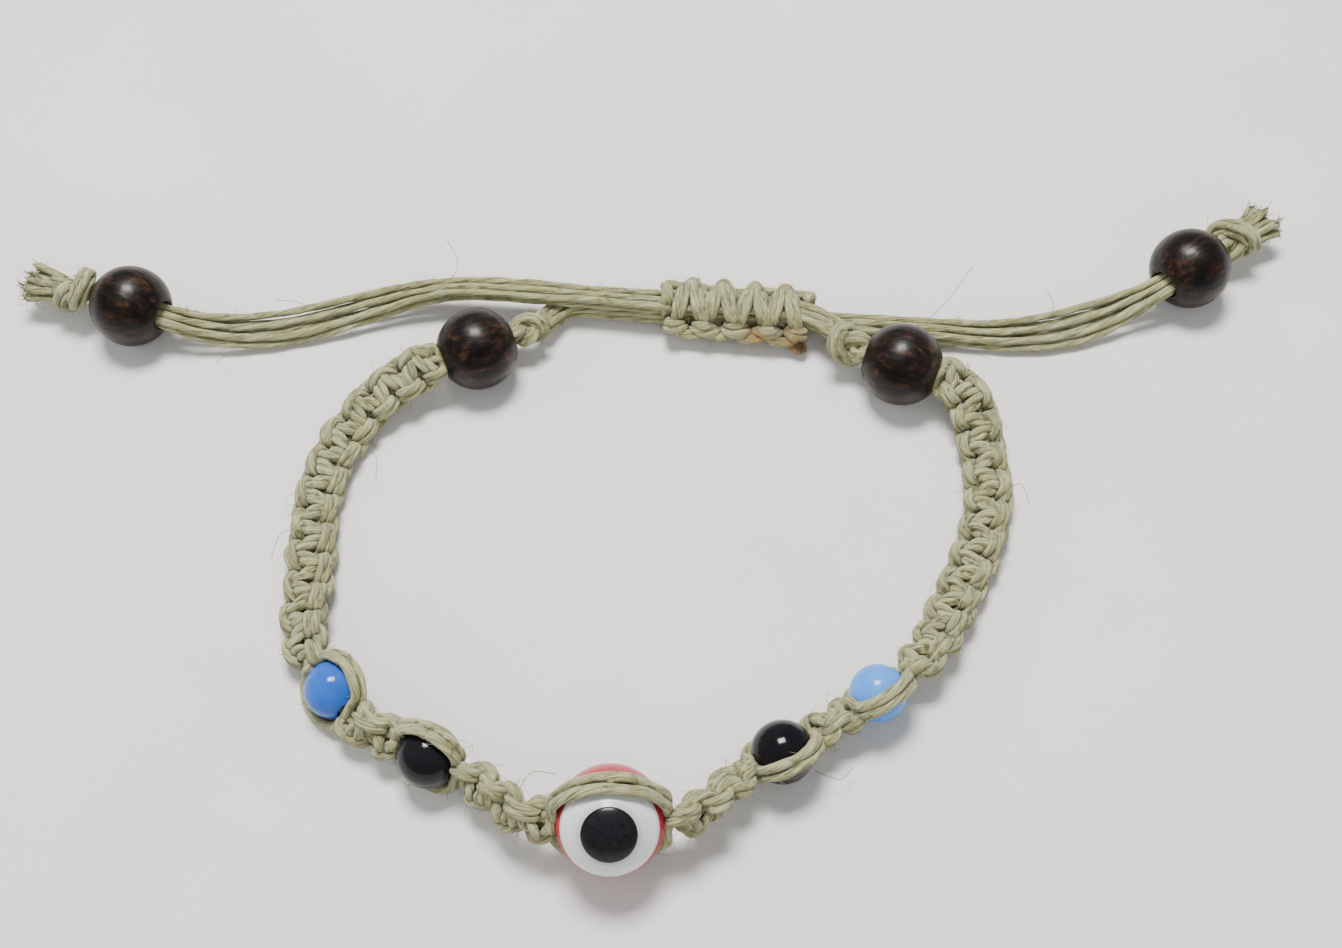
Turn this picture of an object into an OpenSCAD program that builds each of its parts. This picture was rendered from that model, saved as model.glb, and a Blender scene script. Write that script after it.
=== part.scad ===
// Macrame bracelet with an evil-eye bead and a sliding-knot closure, laid flat.
// Millimetres. Z = 0 is the surface it rests on; the origin is the middle of the wrist loop.
// The eye bead is at the front (-Y) and the closure runs along X at the back (+Y).

/* [Loop] */
// Width of the wrist loop between the outsides of the side bands
loop_w = 70; // [64:1:90]
// Depth of the wrist loop, from the eye bead's bore to the inner wooden beads' bores
loop_d = 51; // [47:1:70]

/* [Hemp strands] */
// Diameter of one hemp strand
strand_d = 0.8; // [0.6:0.05:1]
// Width of the knotted band
band_w = 4.8; // [4:0.1:6]
// Thickness of the knotted band
band_t = 3.1; // [2.6:0.1:4]
// Length of one full square knot along the band
knot_pitch = 3.5; // [2.5:0.1:5]
// How much the band narrows between two half knots
knot_waist = 0.35; // [0.1:0.05:0.6]

/* [Glass and eye beads] */
// Diameter of the eye bead
eye_d = 10; // [8:0.5:12]
// Half angle of the white ring, seen from the bead's centre
ring_half_angle = 68; // [50:1:70]
// Half angle of the black pupil, seen from the bead's centre
pupil_half_angle = 33; // [20:1:40]
// How deep the ring and the pupil are let into the eye bead
inlay_depth = 0.9; // [0.5:0.1:1.5]
// How far the eye looks up from the horizontal
eye_tilt = 54; // [0:1:90]
// Diameter of the black glass beads
black_d = 6; // [5:0.5:7]
// Diameter of the blue glass beads
blue_d = 5.5; // [4.5:0.5:7]

/* [Wooden beads] */
// Diameter of the wooden beads
wood_d = 8.5; // [7:0.5:10]
// Length of the wooden beads along their bores
wood_len = 7.8; // [6:0.1:9]

/* [Knots and closure] */
// Diameter of the overhand knot beside each inner wooden bead
inner_knot_d = 4; // [3.5:0.1:5]
// Diameter of the overhand knot at each end of the bracelet
end_knot_d = 4.4; // [3.5:0.1:5]
// Length of the frayed tuft past each end knot
tuft_len = 3.6; // [1:0.1:6]
// Length of the sliding knot
slider_len = 15; // [10:0.5:20]
// Number of half knots in the sliding knot
slider_turns = 9; // [6:1:12]
// Thickness of the sliding knot's wrapping cord
slider_wall = 0.7; // [0.5:0.05:1]

/* [Clearances] */
// Gap between a bead's bore and the strands in it, on each side
bore_gap = 0.15; // [0.1:0.01:0.3]
// Gap between a bead and the working cords that pass round it
wrap_gap = 0.15; // [0.1:0.01:0.3]
// Gap between a bead's face and the next knot
face_gap = 0.3; // [0.2:0.05:0.6]
// Gap between the sliding knot's channel and the strands in it
slide_gap = 0.15; // [0.12:0.01:0.2]
// Gap between the two layers of closure strands
layer_gap = 0.15; // [0.1:0.01:0.3]
// Gap between the closure strands and the inner wooden beads
side_gap = 0.85; // [0.6:0.05:2]

/* [Hidden] */
$fn = 48;

hemp = "#b4ad7d";
singed_hemp = "#8a6a35";
dark_wood = "#24140e";

// The width and depth that the bead places below are given for.
drawn_w = 70;
drawn_d = 51;
// A wooden bead's bored length never reaches the full diameter.
bead_len = min(wood_len, 0.92 * wood_d);
// A bead rests on its own skin, or on the working cord that passes under it.
function rest_height(r, roll) =
    max(r, (r + wrap_gap + strand_d / 2) * abs(sin(roll)) + strand_d / 2) + 0.02;
// A place on the band: position, heading of the band, roll of its flat side, half length of what is there.
function place(x, y, z, heading, roll, half) =
    [[x * loop_w / drawn_w, y * loop_d / drawn_d, z], heading, roll, half];
function bead_place(x, y, heading, roll, r) = place(x, y, rest_height(r, roll), heading, roll, r);
function band_place(x, y, heading, roll) = place(x, y, band_t / 2 + 0.1, heading, roll, 0);

at_inner_left = place(-20.2, 23.8, wood_d / 2, 208, 205, bead_len / 2);
at_side_left_back = band_place(-32.8, 13, 250, 182);
at_side_left_front = band_place(-33.5, -1, 279, 176);
at_blue_left = bead_place(-28.5, -14.8, 312, 131, blue_d / 2);
at_black_left = bead_place(-18.4, -20.9, 338, 108, black_d / 2);
at_eye = bead_place(-1, -26.2, 366, 104, eye_d / 2);
at_black_right = bead_place(14, -17.4, 396, 48, black_d / 2);
at_blue_right = bead_place(22.6, -10.8, 401, 56, blue_d / 2);
at_side_right_front = band_place(30.4, 1.4, 428, 17);
at_side_right_back = band_place(32.8, 16.5, 461, 14);
at_inner_right = place(23.9, 25.7, wood_d / 2, 524, 10, bead_len / 2);

// Two strands lie side by side in a glass bead; six lie three wide and two high in a wooden bead.
strand_step = strand_d + 0.01;
bundle_d = 2 * norm([strand_step, strand_step / 2]) + strand_d;
glass_bore_d = strand_step + strand_d + 2 * bore_gap;
wood_bore_d = bundle_d + 2 * bore_gap;

// The closure: the strands from the left inner knot lie under those from the right inner knot.
slider_floor = 0.02;
layer_h = strand_step + strand_d;
low_layer_z = slider_floor + slider_wall + slide_gap + layer_h / 2;
high_layer_z = low_layer_z + layer_h + layer_gap;
closure_y = max(at_inner_left[0].y, at_inner_right[0].y) + wood_d / 2 + side_gap
    + strand_step + strand_d / 2;
channel_w = 2 * strand_step + strand_d + 2 * slide_gap;
channel_h = 2 * layer_h + layer_gap + 2 * slide_gap;
slider_w = channel_w + 2 * slider_wall;
slider_h = channel_h + 2 * slider_wall;

function flat(heading) = [cos(heading), sin(heading), 0];
knot_turn = 17;
left_exit = at_inner_left[0] - flat(at_inner_left[1]) * bead_len / 2;
right_exit = at_inner_right[0] + flat(at_inner_right[1]) * bead_len / 2;
knot_reach = inner_knot_d / 2 + 0.1;
left_knot_at = left_exit + flat(at_inner_left[1] - 180 + knot_turn) * knot_reach + [0, 0, -0.75];
right_knot_at = right_exit + flat(at_inner_right[1] - knot_turn) * knot_reach + [0, 0, -0.4];

// Where the straight stretch of the closure begins and ends, beside the two inner knots.
straight_left_x = left_knot_at.x + 3.6;
straight_right_x = right_knot_at.x - 4.1;
slider_x = straight_right_x - 0.4 - slider_len / 2;
slider_z = slider_floor + slider_h / 2;

// Routes of the two tails' middles past the closure: x past the inner knot, y past the
// closure line, height, and how far apart the strands lie.
left_tail_route = [
    [-8, 0, 3.4, 1], [-12, -0.6, 2.9, 1.1], [-16, -1.6, 2.1, 1.35], [-20, -3, 1.5, 1.6],
    [-24, -4.4, 1.15, 1.8], [-28, -5.6, 1.1, 1.8], [-32, -6.5, 1.6, 1.55], [-35.6, -7, 2.7, 1.25]
];
right_tail_route = [
    [6, 0, 1.65, 1], [11, 0.2, 1.4, 1.15], [16, 0.5, 1.15, 1.5], [21, 1.5, 1.1, 1.8],
    [25.5, 3, 1.4, 1.8], [29.5, 4.7, 2.4, 1.4]
];
left_end_at = [left_knot_at.x - 42.1, closure_y - 6, wood_d / 2];
left_end_heading = 166;
right_end_at = [right_knot_at.x + 35.9, closure_y + 8.7, wood_d / 2];
right_end_heading = 42;

function past(start, route, k) = [start.x + route[k][0], closure_y + route[k][1], route[k][2]];
function near_end(end, heading, along) = end + flat(heading) * along;
end_reach = bead_len / 2 + face_gap / 2;
// Each route point of a tail: its place and how far apart the strands lie there.
left_tail_points = concat(
    [[right_knot_at + [-1.4, 1.6, 0.05], 1],
     [right_knot_at + [-2.1, 2.7, 0.02], 1],
     [[straight_right_x + 0.9, closure_y - 0.2, high_layer_z], 1],
     [[straight_right_x, closure_y, high_layer_z], 1],
     [[straight_right_x - 2, closure_y, high_layer_z], 1],
     [[(straight_right_x + straight_left_x) / 2, closure_y, high_layer_z], 1],
     [[straight_left_x + 2, closure_y, high_layer_z], 1],
     [[straight_left_x, closure_y, high_layer_z], 1]],
    [for (k = [0:len(left_tail_route) - 1]) [past(left_knot_at, left_tail_route, k), left_tail_route[k][3]]],
    [for (along = [-end_reach, 0, end_reach]) [near_end(left_end_at, left_end_heading, along), 1]]
);
right_tail_points = concat(
    [[left_knot_at + [1.2, 1.6, -0.9], 1],
     [[left_knot_at.x + 1.9, left_knot_at.y + 2.8, low_layer_z + 0.1], 1],
     [[straight_left_x - 0.8, closure_y - 0.3, low_layer_z], 1],
     [[straight_left_x, closure_y, low_layer_z], 1],
     [[straight_left_x + 2, closure_y, low_layer_z], 1],
     [[(straight_right_x + straight_left_x) / 2, closure_y, low_layer_z], 1],
     [[straight_right_x - 2, closure_y, low_layer_z], 1],
     [[straight_right_x, closure_y, low_layer_z], 1]],
    [for (k = [0:len(right_tail_route) - 1])
        [past(right_knot_at, right_tail_route, k), right_tail_route[k][3]]],
    [for (along = [-end_reach, 0, end_reach]) [near_end(right_end_at, right_end_heading, along), 1]]
);

// ---- Paths and sweeps ----
function unit(v) = v / norm(v);
function mix(a, b, t) = a + (b - a) * t;
function curve(p, t) = pow(1 - t, 3) * p[0] + 3 * t * pow(1 - t, 2) * p[1]
    + 3 * t * t * (1 - t) * p[2] + pow(t, 3) * p[3];
function slope(p, t) = pow(1 - t, 2) * (p[1] - p[0]) + 2 * t * (1 - t) * (p[2] - p[1])
    + t * t * (p[3] - p[2]);
// The band between two places, as stations of [position, direction, roll].
function handles(from, to, gap) =
    let (p0 = from[0] + flat(from[1]) * (from[3] + gap),
         p3 = to[0] - flat(to[1]) * (to[3] + gap),
         reach = norm(p3 - p0) * (0.34 + abs(to[1] - from[1]) / 1200))
    [p0, p0 + flat(from[1]) * reach, p3 - flat(to[1]) * reach, p3];
function between(from, to, gap, steps) =
    let (p = handles(from, to, gap))
    [for (k = [0:steps]) [curve(p, k / steps), unit(slope(p, k / steps)), mix(from[2], to[2], k / steps)]];
function band_steps(from, to) =
    let (p = handles(from, to, face_gap), run = norm(p[3] - p[0]))
    max(2, 4 * round(1.04 * run / knot_pitch));
function through(bead) = [for (along = [-bead[3], bead[3]])
    [bead[0] + flat(bead[1]) * along, flat(bead[1]), bead[2]]];
function from_second(list) = [for (k = [1:len(list) - 1]) list[k]];

// Directions of the band's width and thickness at a station.
function outward(d) = unit([d.y, -d.x, 0]);
function raised(d) = cross(outward(d), d);
function width_dir(s) = outward(s[1]) * cos(s[2]) + raised(s[1]) * sin(s[2]);
function thick_dir(s) = raised(s[1]) * cos(s[2]) - outward(s[1]) * sin(s[2]);
function ring(s, half_w, half_t, shift, sides) =
    [for (k = [0:sides - 1]) let (a = (k + 0.5) * 360 / sides)
        s[0] + width_dir(s) * (shift + half_w * cos(a)) + thick_dir(s) * half_t * sin(a)];

// Skin between each ring and the next; a hollow tube's rings run out along it and back inside.
function ring_faces(rings, sides) = [for (i = [0:rings - 1], k = [0:sides - 1])
    let (a = i * sides + k, b = i * sides + (k + 1) % sides) each
        [[a, a + sides, b], [b, a + sides, b + sides]]];
module solid_tube(rings) {
    sides = len(rings[0]);
    last = (len(rings) - 1) * sides;
    caps = [[for (k = [0:sides - 1]) k], [for (k = [sides - 1:-1:0]) last + k]];
    polyhedron([for (r = rings, p = r) p], concat(ring_faces(len(rings) - 1, sides), caps));
}
module hollow_tube(outer, inner) {
    sides = len(outer[0]);
    count = len(outer);
    rings = concat(outer, [for (k = [count - 1:-1:0]) inner[k]]);
    total = 2 * count * sides;
    faces = [for (f = ring_faces(2 * count, sides)) [for (v = f) v % total]];
    polyhedron([for (r = rings, p = r) p], faces);
}

// ---- The knotted band ----
channel_half_w = strand_step / 2 + strand_d / 2 + bore_gap;
channel_half_t = strand_d / 2 + bore_gap;
// The band is widest at each half knot and narrows between them.
module knotted(stations) {
    swell = [for (k = [0:len(stations) - 1]) k % 2 == 1 ? 0 : -knot_waist];
    outer = [for (k = [0:len(stations) - 1])
        ring(stations[k], band_w / 2 + swell[k], band_t / 2 + swell[k] / 2, 0, 10)];
    inner = [for (s = stations) ring(s, channel_half_w, channel_half_t, 0, 10)];
    color(hemp) hollow_tube(outer, inner);
}
module band(from, to) { knotted(between(from, to, face_gap, band_steps(from, to))); }
function side_stations(a, b, c, d) = concat(
    between(a, b, face_gap, band_steps(a, b)),
    from_second(between(b, c, 0, band_steps(b, c))),
    from_second(between(c, d, face_gap, band_steps(c, d)))
);
left_side = side_stations(at_inner_left, at_side_left_back, at_side_left_front, at_blue_left);
right_side = side_stations(at_blue_right, at_side_right_front, at_side_right_back, at_inner_right);

module cores(stations) {
    color(hemp) for (side = [-1, 1])
        solid_tube([for (s = stations) ring(s, strand_d / 2, strand_d / 2, side * strand_step / 2, 8)]);
}
function every_other(list) = [for (k = [0:len(list) - 1]) if (k % 2 == 0 || k == len(list) - 1) list[k]];
function loose_span(from, to) = between(from, to, 0.6, 4);
core_path_front = concat(
    through(at_black_left), loose_span(at_black_left, at_eye),
    through(at_eye), loose_span(at_eye, at_black_right),
    through(at_black_right), loose_span(at_black_right, at_blue_right), through(at_blue_right)
);
core_path_left = concat(
    every_other(left_side), through(at_blue_left),
    between(at_blue_left, at_black_left, face_gap, 4)
);
core_path_right = every_other(right_side);
module core_strands_front() { cores(core_path_front); }
module core_strands_left() { cores(core_path_left); }
module core_strands_right() { cores(core_path_right); }
module knots_eye_to_black_left() { band(at_black_left, at_eye); }
module knots_eye_to_black_right() { band(at_eye, at_black_right); }
module knots_black_to_blue_left() { band(at_blue_left, at_black_left); }
module knots_black_to_blue_right() { band(at_black_right, at_blue_right); }
module side_knots_left() { knotted(left_side); }
module side_knots_right() { knotted(right_side); }

// ---- Beads ----
// Puts a shape drawn about the X axis at a bead's place, its Y turned to the outward side.
module at(bead) { translate(bead[0]) rotate([0, 0, bead[1]]) mirror([0, 1, 0]) children(); }
// The doubled working cords pass a bead on opposite sides, the width of the band apart.
module cords_round(bead) {
    reach = bead[3] + wrap_gap + strand_d / 2;
    half_span = 90 - acos((bead[3] + 0.1) / (reach + strand_d / 2));
    lay = asin(strand_step / 2 / reach);
    color(hemp) at(bead) for (turn = [0, 180], part = [-lay, lay])
        rotate([bead[2] + turn + part, 0, 0]) rotate([0, 0, 90 - half_span])
            rotate_extrude(angle = 2 * half_span) translate([reach, 0]) circle(d = strand_d);
}
module cords_round_eye_bead() { cords_round(at_eye); }
module cords_round_black_bead_left() { cords_round(at_black_left); }
module cords_round_black_bead_right() { cords_round(at_black_right); }
module cords_round_blue_bead_left() { cords_round(at_blue_left); }
module cords_round_blue_bead_right() { cords_round(at_blue_right); }

module glass_bead(bead, d) {
    at(bead) rotate([0, 90, 0]) difference() {
        sphere(d = d);
        cylinder(d = glass_bore_d, h = 2 * d, center = true);
    }
}
module black_bead_left() { color("#0b0b0e") glass_bead(at_black_left, black_d); }
module black_bead_right() { color("#0b0b0e") glass_bead(at_black_right, black_d); }
module blue_bead_left() { color("#3f7fd0") glass_bead(at_blue_left, blue_d); }
module blue_bead_right() { color("#5aa5e8") glass_bead(at_blue_right, blue_d); }

// The eye looks out along +Y of the bead's own frame, tilted up.
module looking() { at(at_eye) rotate([eye_tilt - 90, 0, 0]) children(); }
module eye_cone(half_angle) {
    reach = eye_d;
    cylinder(r1 = 0, r2 = reach * tan(half_angle), h = reach);
}
module eye_layer(half_angle, outer_d = eye_d) {
    intersection() {
        difference() {
            sphere(d = outer_d);
            sphere(d = eye_d - 2 * inlay_depth);
        }
        eye_cone(half_angle);
    }
}
module eye_bead_body() {
    color("#aa4646") difference() {
        glass_bead(at_eye, eye_d);
        looking() eye_layer(ring_half_angle, eye_d + 2);
    }
}
module eye_white_ring() {
    color("white") looking() difference() {
        eye_layer(ring_half_angle);
        eye_cone(pupil_half_angle);
    }
}
module eye_pupil() { color("#101010") looking() eye_layer(pupil_half_angle); }

module wood_bead(centre, heading) {
    color(dark_wood) translate(centre) rotate([0, 90, heading]) difference() {
        intersection() {
            sphere(d = wood_d);
            cylinder(d = 2 * wood_d, h = bead_len, center = true);
        }
        cylinder(d = wood_bore_d, h = 2 * bead_len, center = true);
    }
}
module inner_wood_bead_left() { wood_bead(at_inner_left[0], at_inner_left[1]); }
module inner_wood_bead_right() { wood_bead(at_inner_right[0], at_inner_right[1]); }
module end_wood_bead_left() { wood_bead(left_end_at, left_end_heading); }
module end_wood_bead_right() { wood_bead(right_end_at, right_end_heading); }

// ---- Strands in the wooden beads and the knots beside them ----
strand_slots = [for (row = [0.5, -0.5], column = [-1, 0, 1]) [column, row] * strand_step];
module strands_in_bead(bead) {
    color(hemp) translate(bead[0]) rotate([0, 0, bead[1]]) for (s = strand_slots)
        translate([-bead_len / 2, s.x, s.y]) rotate([0, 90, 0]) cylinder(d = strand_d, h = bead_len);
}
module strands_in_inner_bead_left() { strands_in_bead(at_inner_left); }
module strands_in_inner_bead_right() { strands_in_bead(at_inner_right); }
module overhand_knot(d) {
    intersection() {
        sphere(d = d);
        cylinder(d = 2 * d, h = 0.9 * d, center = true);
    }
}
module inner_knot_left() { color(hemp) translate(left_knot_at) overhand_knot(inner_knot_d); }
module inner_knot_right() { color(hemp) translate(right_knot_at) overhand_knot(inner_knot_d); }
module end_knot(end, heading) {
    reach = bead_len / 2 + face_gap + end_knot_d / 2;
    color(hemp) translate(near_end(end, heading, reach) - [0, 0, 0.3]) rotate([0, 0, heading]) {
        overhand_knot(end_knot_d);
        for (s = strand_slots) rotate([0, -2 * s.y, 8 * s.x]) translate([0, s.x, s.y])
            rotate([0, 96, 0]) cylinder(d = strand_d, h = end_knot_d / 2 + tuft_len);
    }
}
module end_knot_left() { end_knot(left_end_at, left_end_heading); }
module end_knot_right() { end_knot(right_end_at, right_end_heading); }

// ---- The tails ----
function at_knee(points, k) = unit(points[min(k + 1, len(points) - 1)][0] - points[max(k - 1, 0)][0]);
// A strand keeps its slot in the bundle; the slots spread sideways where the tail fans out.
function strand_ring(points, k, slot) =
    let (d = at_knee(points, k), side = outward(d) * sign(-outward(d).y + 0.001), up = cross(side, d),
         c = points[k][0] + side * slot.x * points[k][1] + up * slot.y)
    [for (j = [0:7]) let (a = (j + 0.5) * 45)
        c + (side * cos(a) + up * sin(a)) * strand_d / 2];
// Two stations for each route point, on a smooth curve through the points.
function spline(a, b, c, d, t) = 0.5 * (2 * b + (c - a) * t + (2 * a - 5 * b + 4 * c - d) * t * t
    + (3 * b - a - 3 * c + d) * t * t * t);
function smooth(points) = let (last = len(points) - 1)
    concat([for (k = [0:last - 1], t = [0, 0.5])
        [for (j = [0, 1]) spline(points[max(k - 1, 0)][j], points[k][j], points[k + 1][j],
            points[min(k + 2, last)][j], t)]], [points[last]]);
module tail_strand(points, number) {
    stations = smooth(points);
    color(hemp) solid_tube([for (k = [0:len(stations) - 1])
        strand_ring(stations, k, strand_slots[number - 1])]);
}

// ---- The sliding knot ----
module rounded(w, h, r) {
    square([w - 2 * r, h], center = true);
    square([w, h - 2 * r], center = true);
    for (x = [-1, 1], y = [-1, 1]) translate([x * (w / 2 - r), y * (h / 2 - r)]) circle(r = r);
}
module wrap_section(trim) {
    difference() {
        rounded(slider_w - 2 * trim, slider_h - 2 * trim, slider_wall + 0.3);
        square([channel_w, channel_h], center = true);
    }
}
module sliding_knot() {
    turn_len = slider_len / slider_turns;
    groove = 0.25;
    color(hemp) translate([slider_x, closure_y, slider_z]) rotate([90, 0, 90]) {
        linear_extrude(slider_len, center = true) wrap_section(0.2);
        for (k = [0:slider_turns - 1])
            translate([0, 0, (k + 0.5) * turn_len - slider_len / 2])
                linear_extrude(turn_len - groove, center = true) wrap_section(0);
    }
}
// The wrapping cord's singed ends stand out at the front of the sliding knot's right end.
module sliding_knot_cord_ends() {
    color(singed_hemp) for (k = [0, 1])
        translate([slider_x + slider_len / 2 - 1 - 1.6 * k, closure_y - slider_w / 2, slider_z - 1.2])
            rotate([90, 0, 0]) cylinder(d = strand_d, h = 1.1 - 0.3 * k);
}

core_strands_front();
core_strands_left();
core_strands_right();
knots_eye_to_black_left();
knots_eye_to_black_right();
knots_black_to_blue_left();
knots_black_to_blue_right();
side_knots_left();
side_knots_right();
cords_round_eye_bead();
cords_round_black_bead_left();
cords_round_black_bead_right();
cords_round_blue_bead_left();
cords_round_blue_bead_right();
eye_bead_body();
eye_white_ring();
eye_pupil();
black_bead_left();
black_bead_right();
blue_bead_left();
blue_bead_right();
inner_wood_bead_left();
inner_wood_bead_right();
end_wood_bead_left();
end_wood_bead_right();
strands_in_inner_bead_left();
strands_in_inner_bead_right();
inner_knot_left();
inner_knot_right();
end_knot_left();
end_knot_right();
sliding_knot();
sliding_knot_cord_ends();
tail_strand(left_tail_points, 1);  // left_tail_strand_1
tail_strand(left_tail_points, 2);  // left_tail_strand_2
tail_strand(left_tail_points, 3);  // left_tail_strand_3
tail_strand(left_tail_points, 4);  // left_tail_strand_4
tail_strand(left_tail_points, 5);  // left_tail_strand_5
tail_strand(left_tail_points, 6);  // left_tail_strand_6
tail_strand(right_tail_points, 1);  // right_tail_strand_1
tail_strand(right_tail_points, 2);  // right_tail_strand_2
tail_strand(right_tail_points, 3);  // right_tail_strand_3
tail_strand(right_tail_points, 4);  // right_tail_strand_4
tail_strand(right_tail_points, 5);  // right_tail_strand_5
tail_strand(right_tail_points, 6);  // right_tail_strand_6
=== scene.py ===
import math
import bpy
import numpy as np
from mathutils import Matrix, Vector, kdtree


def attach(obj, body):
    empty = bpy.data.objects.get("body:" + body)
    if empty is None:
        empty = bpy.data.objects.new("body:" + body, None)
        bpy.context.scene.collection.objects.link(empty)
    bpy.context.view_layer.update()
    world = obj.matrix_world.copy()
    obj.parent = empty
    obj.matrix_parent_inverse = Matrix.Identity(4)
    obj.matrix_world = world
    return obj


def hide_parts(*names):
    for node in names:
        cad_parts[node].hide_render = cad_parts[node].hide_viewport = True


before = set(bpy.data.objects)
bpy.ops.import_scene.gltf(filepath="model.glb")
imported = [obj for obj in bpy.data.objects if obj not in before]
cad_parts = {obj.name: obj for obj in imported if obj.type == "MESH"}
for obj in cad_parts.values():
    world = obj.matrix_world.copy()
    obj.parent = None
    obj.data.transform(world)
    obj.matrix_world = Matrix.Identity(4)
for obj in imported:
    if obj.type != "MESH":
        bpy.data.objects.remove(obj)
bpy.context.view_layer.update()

MM = 0.001
rng = np.random.default_rng(20261119)

# ---- camera, floor and light
scene = bpy.context.scene


def aim(obj, target):
    obj.rotation_mode = "QUATERNION"
    obj.rotation_quaternion = (Vector(target) - obj.location).to_track_quat("-Z", "Y")


camera = bpy.data.objects.new("camera", bpy.data.cameras.new("camera"))
scene.collection.objects.link(camera)
camera.location = (0.009, -0.07845, 0.159)
aim(camera, (0.001, 0.013, 0.0))
camera.data.sensor_width = 36
camera.data.lens = 48
camera.data.clip_start = 0.01
camera.data.clip_end = 10
scene.camera = camera


def area_light(name, place, target, size, power, tint, mirrored=True):
    light = bpy.data.lights.new(name, "AREA")
    light.shape = "RECTANGLE"
    light.size, light.size_y = size
    light.energy = power
    light.color = tint
    obj = bpy.data.objects.new(name, light)
    scene.collection.objects.link(obj)
    obj.location = place
    obj.visible_glossy = mirrored
    aim(obj, target)


area_light("key_light", (-0.05, 0.16, 0.50), (0, 0.01, 0), (0.20, 0.14), 5.6, (1.0, 0.985, 0.96))
area_light("front_fill", (0.15, -0.45, 0.40), (0, 0, 0), (0.55, 0.55), 1.5, (1.0, 0.99, 0.98), False)
area_light("side_fill", (-0.55, -0.05, 0.35), (0, 0, 0), (0.50, 0.50), 1.3, (0.96, 0.98, 1.0), False)
world = bpy.data.worlds.new("studio")
scene.world = world
world.use_nodes = True
background = world.node_tree.nodes["Background"].inputs
background["Color"].default_value = (0.92, 0.94, 1.0, 1)
background["Strength"].default_value = 0.38


# ---- materials
def material(name):
    mat = bpy.data.materials.new(name)
    mat.use_nodes = True
    return mat, mat.node_tree, mat.node_tree.nodes["Principled BSDF"]


def put(tree, n, **values):
    """Sockets are linked, values that are the same all over go on the node's own inputs, the rest are settings."""
    for key, value in values.items():
        socket = n.inputs.get(key.replace("_", " "))
        if socket is None:
            setattr(n, key, value)
        elif isinstance(value, bpy.types.NodeSocket):
            tree.links.new(value, socket)
        else:
            socket.default_value = value


def node(tree, kind, **values):
    n = tree.nodes.new(kind)
    put(tree, n, **values)
    return n


def ramp(tree, fac, stops):
    n = node(tree, "ShaderNodeValToRGB", Fac=fac)
    while len(n.color_ramp.elements) < len(stops):
        n.color_ramp.elements.new(0.5)
    for element, (at, colour) in zip(n.color_ramp.elements, stops):
        element.position = at
        element.color = (*colour, 1)
    return n.outputs["Color"]


def mixed(tree, fac, a, b, blend="MIX"):
    n = node(tree, "ShaderNodeMix", data_type="RGBA", blend_type=blend)
    for socket, value in ((n.inputs[0], fac), (n.inputs[6], a), (n.inputs[7], b)):
        if isinstance(value, bpy.types.NodeSocket):
            tree.links.new(value, socket)
        else:
            socket.default_value = value
    return n.outputs[2]


def noise(tree, vector, scale, detail=3.0, rough=0.55, stretch=None):
    if stretch:
        vector = node(tree, "ShaderNodeMapping", Vector=vector, Scale=stretch).outputs["Vector"]
    n = node(tree, "ShaderNodeTexNoise", Vector=vector, Scale=scale, Detail=detail, Roughness=rough)
    return n.outputs["Fac"]


def attribute(tree, name, output="Vector"):
    return node(tree, "ShaderNodeAttribute", attribute_name=name).outputs[output]


def own_place(tree):
    return node(tree, "ShaderNodeTexCoord").outputs["Object"]


def ranged(tree, value, **limits):
    return node(tree, "ShaderNodeMapRange", Value=value, **limits).outputs["Result"]


def bump(tree, *layers):
    """The normal from layers of (height, strength, distance), one on the other."""
    below = {}
    for height, strength, distance in layers:
        n = node(tree, "ShaderNodeBump", Height=height, Strength=strength, Distance=distance, **below)
        below = {"Normal": n.outputs["Normal"]}
    return n.outputs["Normal"]


def grey(level):
    return (level, level, level)


def hemp_material(name, light, mid, dark):
    """Fine fibres lie along each strand: the fibre attribute is (cos, sin, length) round and along it; painted shade
    darkens the hemp where strands lie deep between their neighbours.
    """
    mat, tree, shader = material(name)
    fibre = attribute(tree, "fibre")
    streak = noise(tree, fibre, 3.0, 6.0, 0.72, (1.0, 1.0, 0.12))
    coarse = noise(tree, fibre, 1.1, 3.0, 0.6, (1.0, 1.0, 0.45))
    patch = noise(tree, own_place(tree), 420, 3.0, 0.6)
    colour = ramp(tree, streak, [(0.37, dark), (0.47, mid), (0.58, light)])
    for fac, source, stops in (
            (0.8, coarse, [(0.38, (0.66, 0.62, 0.46)), (0.56, grey(1.0))]),
            (1.0, patch, [(0.35, (0.90, 0.90, 0.86)), (0.65, (1.06, 1.04, 1.0))]),
            # painted shade: darker where a strand lies deep between its neighbours
            (1.0, attribute(tree, "crevice", "Fac"),
             [(0.0, grey(1.0)), (0.5, (0.50, 0.50, 0.42)), (1.0, (0.16, 0.16, 0.11))])):
        colour = mixed(tree, fac, colour, ramp(tree, source, stops), "MULTIPLY")
    scorch = ramp(tree, patch, [(0.36, (0.085, 0.038, 0.010)), (0.46, (0.26, 0.13, 0.028)),
                                (0.62, (0.42, 0.27, 0.075))])
    put(tree, shader, Base_Color=mixed(tree, attribute(tree, "burn", "Fac"), colour, scorch),
        Roughness=ranged(tree, streak, To_Min=0.72, To_Max=0.95),
        Normal=bump(tree, (streak, 0.9, 0.0003), (coarse, 0.6, 0.0004)),
        Sheen_Weight=0.25, Sheen_Roughness=0.5, Specular_IOR_Level=0.3)
    return mat


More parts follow.
